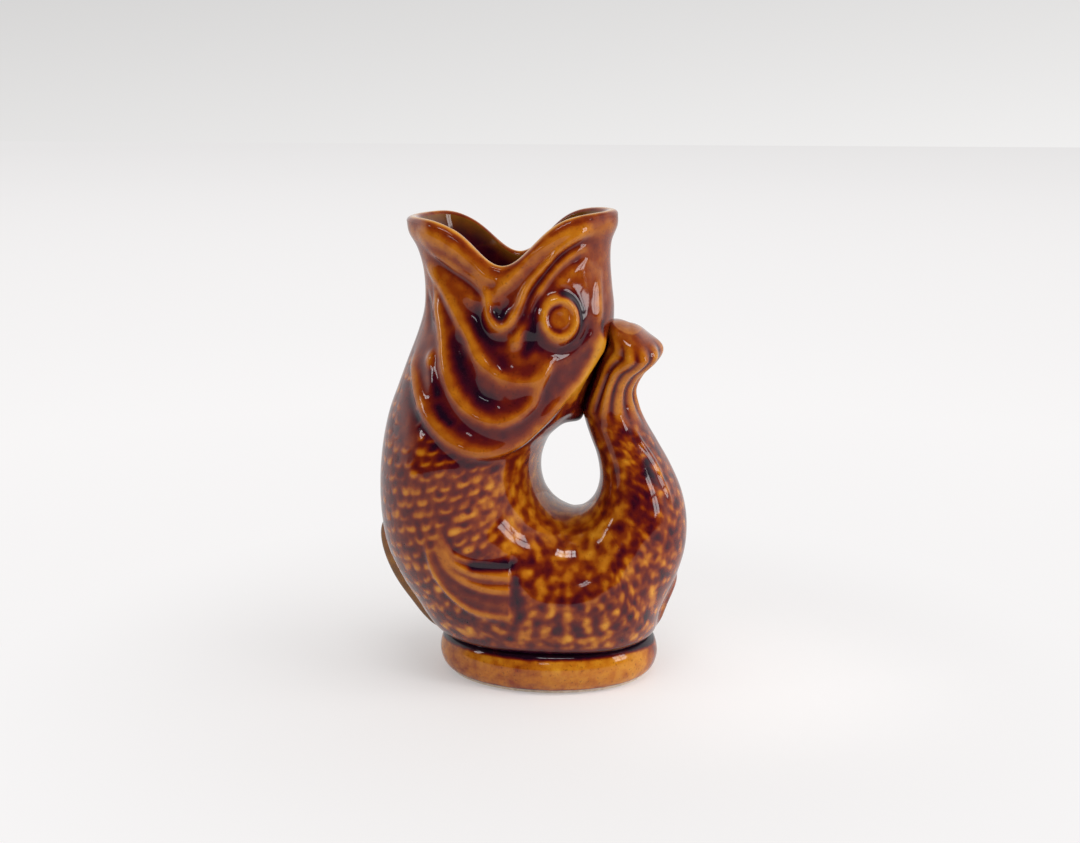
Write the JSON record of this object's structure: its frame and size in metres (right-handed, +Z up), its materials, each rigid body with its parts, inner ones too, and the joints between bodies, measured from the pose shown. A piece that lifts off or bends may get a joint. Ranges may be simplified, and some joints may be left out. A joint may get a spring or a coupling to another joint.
{
  "type": "gurgle jug",
  "caption": "Fish-shaped gurgle jug in glossy amber and brown glaze, with a notched open mouth, a hollow tail curled up as the handle and an oval foot.",
  "frame": {"origin": "middle of the oval foot, on the surface that the jug stands on", "axes": "+Z up, +X from the pouring lip towards the tail handle, +Y across the fish to its right side"},
  "size_m": [0.0842, 0.0602, 0.1276],
  "materials": {
    "bare_clay": "bare fired clay",
    "foot_glaze": "gloss glaze",
    "body_glaze": "gloss glaze",
    "relief_glaze": "gloss glaze"
  },
  "bodies": {
    "root": {"standing_rim": "bare_clay", "foot": "foot_glaze", "belly_shell": "body_glaze", "head_shell": "body_glaze", "tail_handle": "body_glaze", "tail_fluke": "relief_glaze", "belly_fin": "relief_glaze", "tail_fin": "relief_glaze", "left_eye": "relief_glaze", "right_eye": "relief_glaze", "left_nostril": "relief_glaze", "right_nostril": "relief_glaze", "left_lip": "relief_glaze", "right_lip": "relief_glaze", "left_brow": "relief_glaze", "right_brow": "relief_glaze", "left_cheek": "relief_glaze", "right_cheek": "relief_glaze", "left_gill_ridge": "relief_glaze", "right_gill_ridge": "relief_glaze", "left_gill_cover": "relief_glaze", "right_gill_cover": "relief_glaze", "left_throat_rays": "relief_glaze", "right_throat_rays": "relief_glaze", "left_side_fin": "relief_glaze", "right_side_fin": "relief_glaze"}
  },
  "joints": []
}
